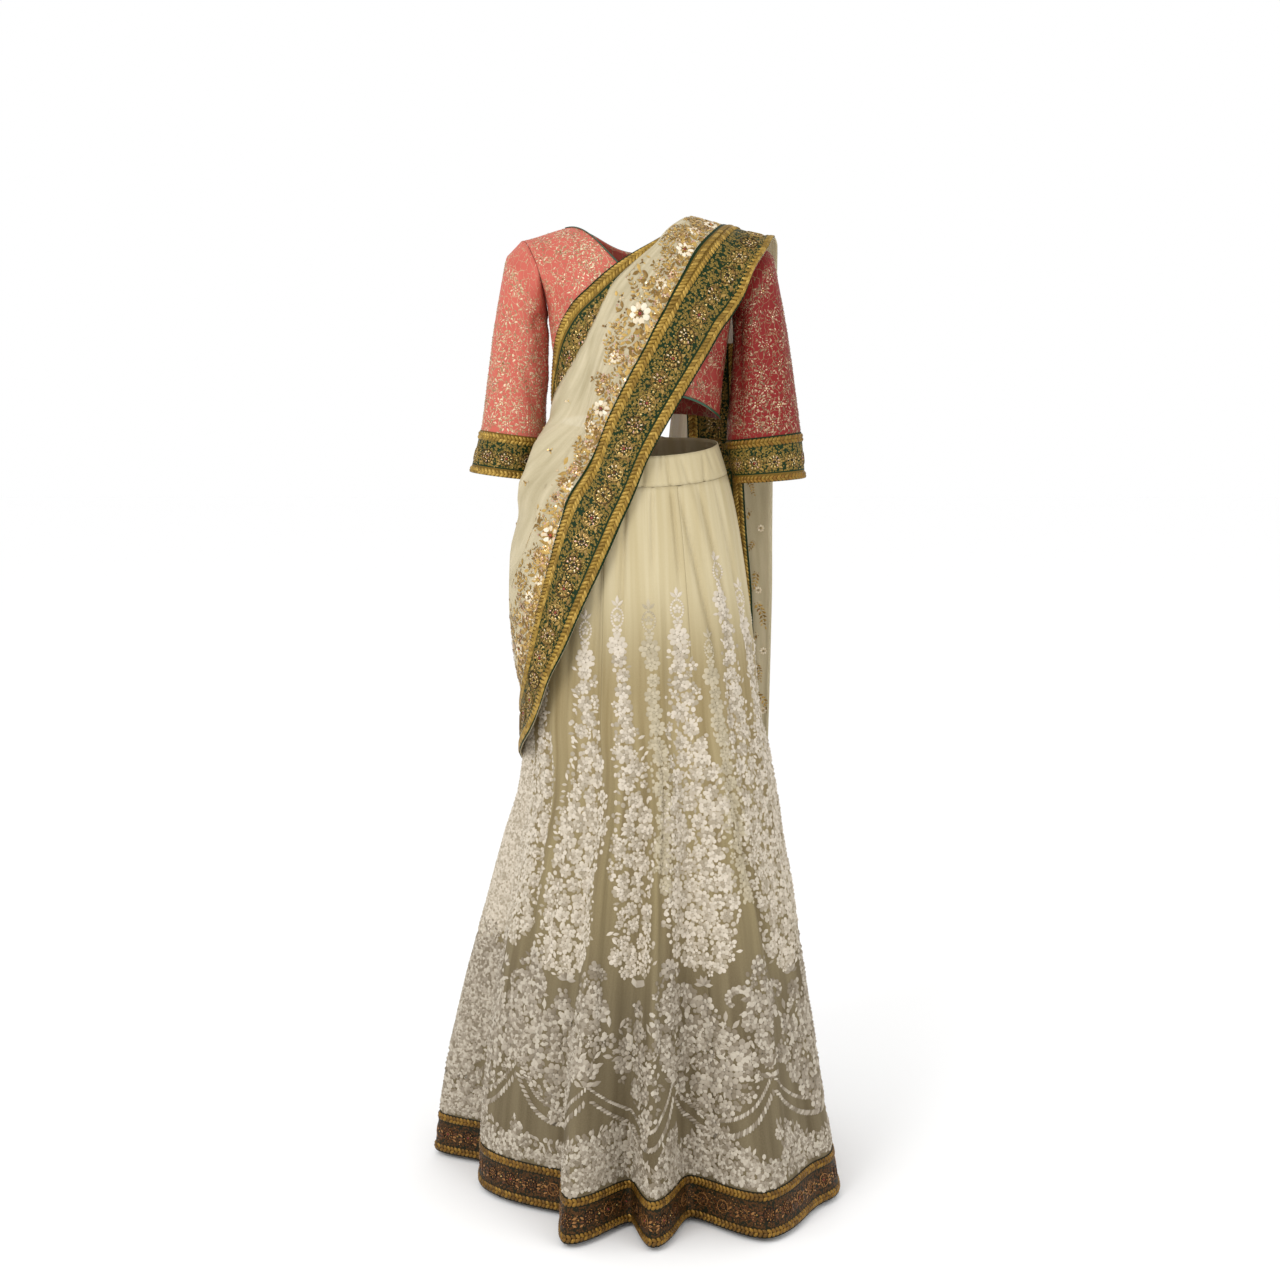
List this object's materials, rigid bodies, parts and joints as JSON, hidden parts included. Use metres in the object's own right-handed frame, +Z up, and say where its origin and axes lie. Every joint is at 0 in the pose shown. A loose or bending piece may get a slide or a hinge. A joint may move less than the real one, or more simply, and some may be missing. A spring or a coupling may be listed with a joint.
{
  "type": "net sari with matching blouse",
  "caption": "Worn net sari: flared lace skirt, bordered pallu over the shoulder and elbow-sleeved brocade blouse, held in its hollow form.",
  "frame": {"origin": "middle of the shoulder line, where the figure holds the garment up; the hem hangs 1.472 m below", "axes": "+Z up, the front of the garment faces -Y, +X to the right seen from the front, which is the wearer's left"},
  "size_m": [0.6582, 0.6411, 1.5128],
  "materials": {
    "brocade": "coral red brocade, matte, with dense gold vine embroidery and small sequins",
    "piping": "dark green satin bias piping",
    "border_band": "dark green velvet covered with antique gold sequin flowers",
    "hem_band": "dark brown velvet with copper sequin flowers",
    "gold_braid": "plaited gold metal thread braid, satin gloss",
    "skirt_net": "olive cream net over a plain lining, with raised white corded lace flowers",
    "pallu_net": "sheer olive cream net with gold and pearl floral embroidery along the border"
  },
  "bodies": {
    "root": {"blouse_back": "brocade", "blouse_front": "brocade", "blouse_hem_piping_back": "piping", "blouse_hem_piping_front": "piping", "blouse_neck_piping_back": "piping", "blouse_neck_piping_front": "piping", "cuff_left_band": "border_band", "cuff_left_braid_inner": "gold_braid", "cuff_left_braid_outer": "gold_braid", "cuff_right_band": "border_band", "cuff_right_braid_inner": "gold_braid", "cuff_right_braid_outer": "gold_braid", "hem_band": "hem_band", "hem_braid_inner": "gold_braid", "hem_braid_outer": "gold_braid", "pallu_fall": "pallu_net", "pallu_fall_end_band": "border_band", "pallu_fall_end_braid_inner": "gold_braid", "pallu_fall_end_braid_outer": "gold_braid", "pallu_front": "pallu_net", "pallu_front_band": "border_band", "pallu_front_braid_inner": "gold_braid", "pallu_front_braid_outer": "gold_braid", "pallu_hip": "pallu_net", "pallu_hip_band": "border_band", "pallu_hip_braid_inner": "gold_braid", "pallu_hip_braid_outer": "gold_braid", "pallu_hip_upper_band": "border_band", "pallu_hip_upper_braid_inner": "gold_braid", "pallu_hip_upper_braid_outer": "gold_braid", "pallu_shoulder_band": "border_band", "pallu_shoulder_braid_inner": "gold_braid", "pallu_shoulder_braid_outer": "gold_braid", "pallu_turned": "pallu_net", "pallu_turned_band": "border_band", "pallu_turned_braid_inner": "gold_braid", "pallu_turned_braid_outer": "gold_braid", "pallu_under": "pallu_net", "pallu_under_band": "border_band", "pallu_under_braid_outer": "gold_braid", "skirt_gore_1": "skirt_net", "skirt_gore_2": "skirt_net", "skirt_gore_3": "skirt_net", "skirt_gore_4": "skirt_net", "skirt_gore_5": "skirt_net", "skirt_gore_6": "skirt_net", "skirt_gore_7": "skirt_net", "skirt_gore_8": "skirt_net", "skirt_waistband": "skirt_net", "sleeve_left": "brocade", "sleeve_right": "brocade"}
  },
  "joints": []
}
